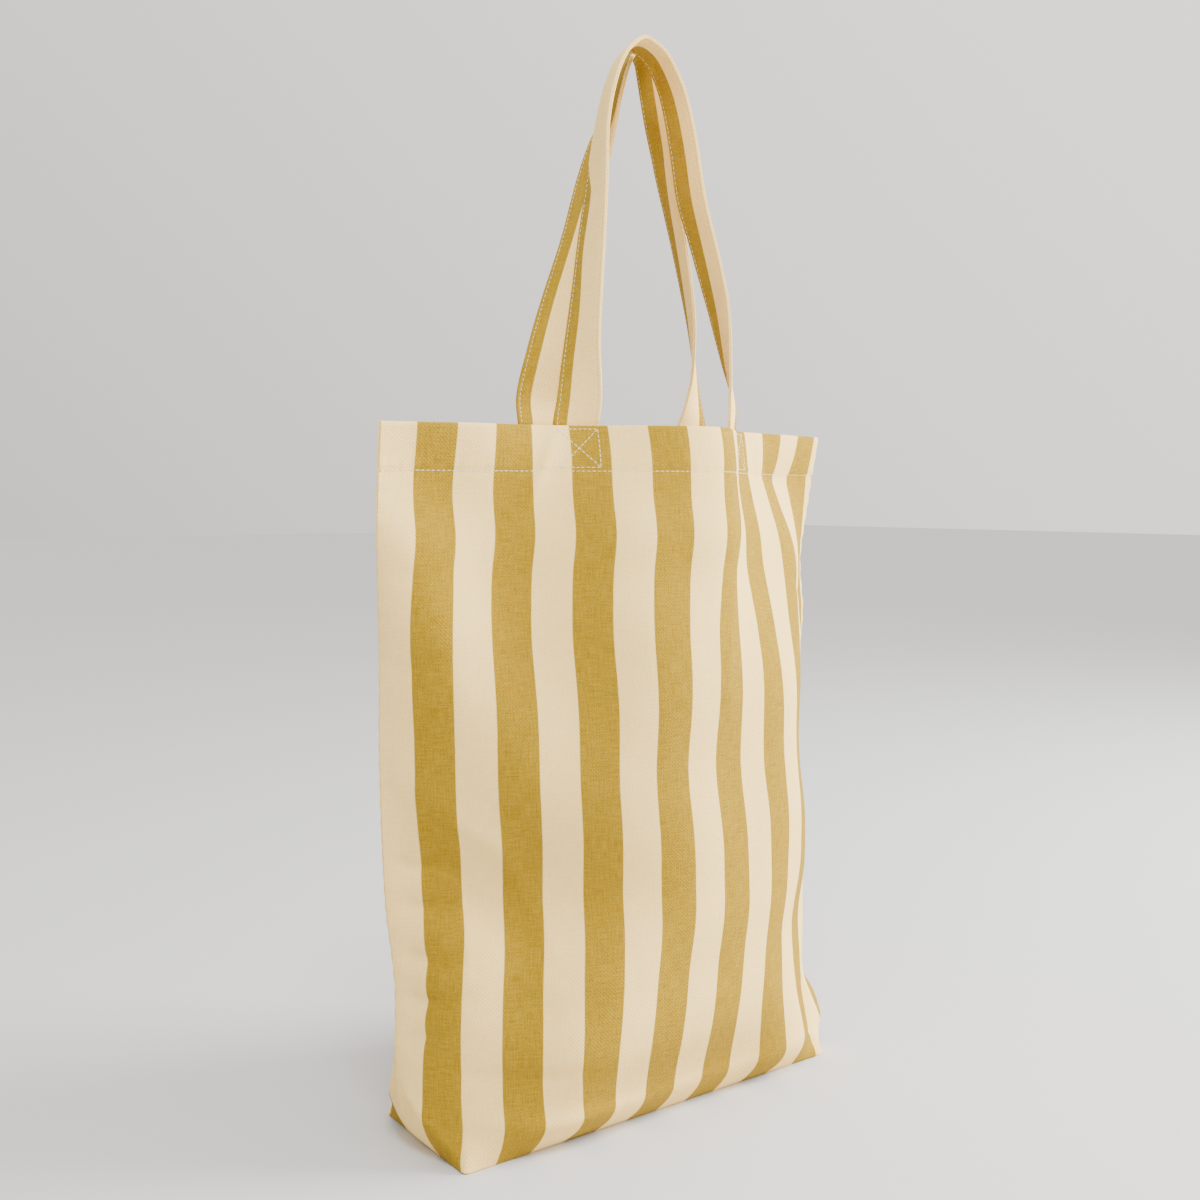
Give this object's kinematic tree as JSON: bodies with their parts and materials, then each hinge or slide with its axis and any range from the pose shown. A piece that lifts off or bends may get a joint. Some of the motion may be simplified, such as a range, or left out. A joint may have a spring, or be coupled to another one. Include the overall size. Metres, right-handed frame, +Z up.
{
  "type": "tote bag",
  "caption": "open-topped canvas tote bag in wide two-tone vertical stripes, standing on its boxed base, with two cloth strap handles sewn inside the hem",
  "frame": {"origin": "middle of the bag's outline in plan, on the surface it stands on", "axes": "+X along the front panel to the right as seen from the front, +Y to the back, +Z up"},
  "size_m": [0.3513, 0.1743, 0.6681],
  "materials": {
    "canvas": "yarn-dyed cotton canvas, ochre and cream stripes, matt",
    "strap_cloth": "same canvas folded into straps, matt",
    "seam_allowance": "raw canvas edges bound with overlock thread, matt",
    "thread": "cream cotton sewing thread, matt"
  },
  "bodies": {
    "bag": {"front_panel": "canvas", "back_panel": "canvas", "front_handle_end_left": "strap_cloth", "front_handle_end_right": "strap_cloth", "back_handle_end_left": "strap_cloth", "back_handle_end_right": "strap_cloth", "side_seam_left": "seam_allowance", "side_seam_right": "seam_allowance", "corner_seam_left": "seam_allowance", "corner_seam_right": "seam_allowance", "bottom_seam": "seam_allowance", "hem_stitching": "thread", "cross_stitch_front_left": "thread", "cross_stitch_front_right": "thread", "cross_stitch_back_left": "thread", "cross_stitch_back_right": "thread"},
    "front_handle_loop": {"front_handle": "strap_cloth", "front_handle_stitching": "thread"},
    "back_handle_loop": {"back_handle": "strap_cloth", "back_handle_stitching": "thread"}
  },
  "joints": [
    {"name": "front_handle_swing", "type": "hinge", "parent": "bag", "child": "front_handle_loop", "pos_m": [0.007, -0.036, 0.445], "axis": [1, 0, 0], "range_deg": [0, 120]},
    {"name": "back_handle_swing", "type": "hinge", "parent": "bag", "child": "back_handle_loop", "pos_m": [0.007, 0.0085, 0.445], "axis": [-1, 0, 0], "range_deg": [0, 120]}
  ]
}
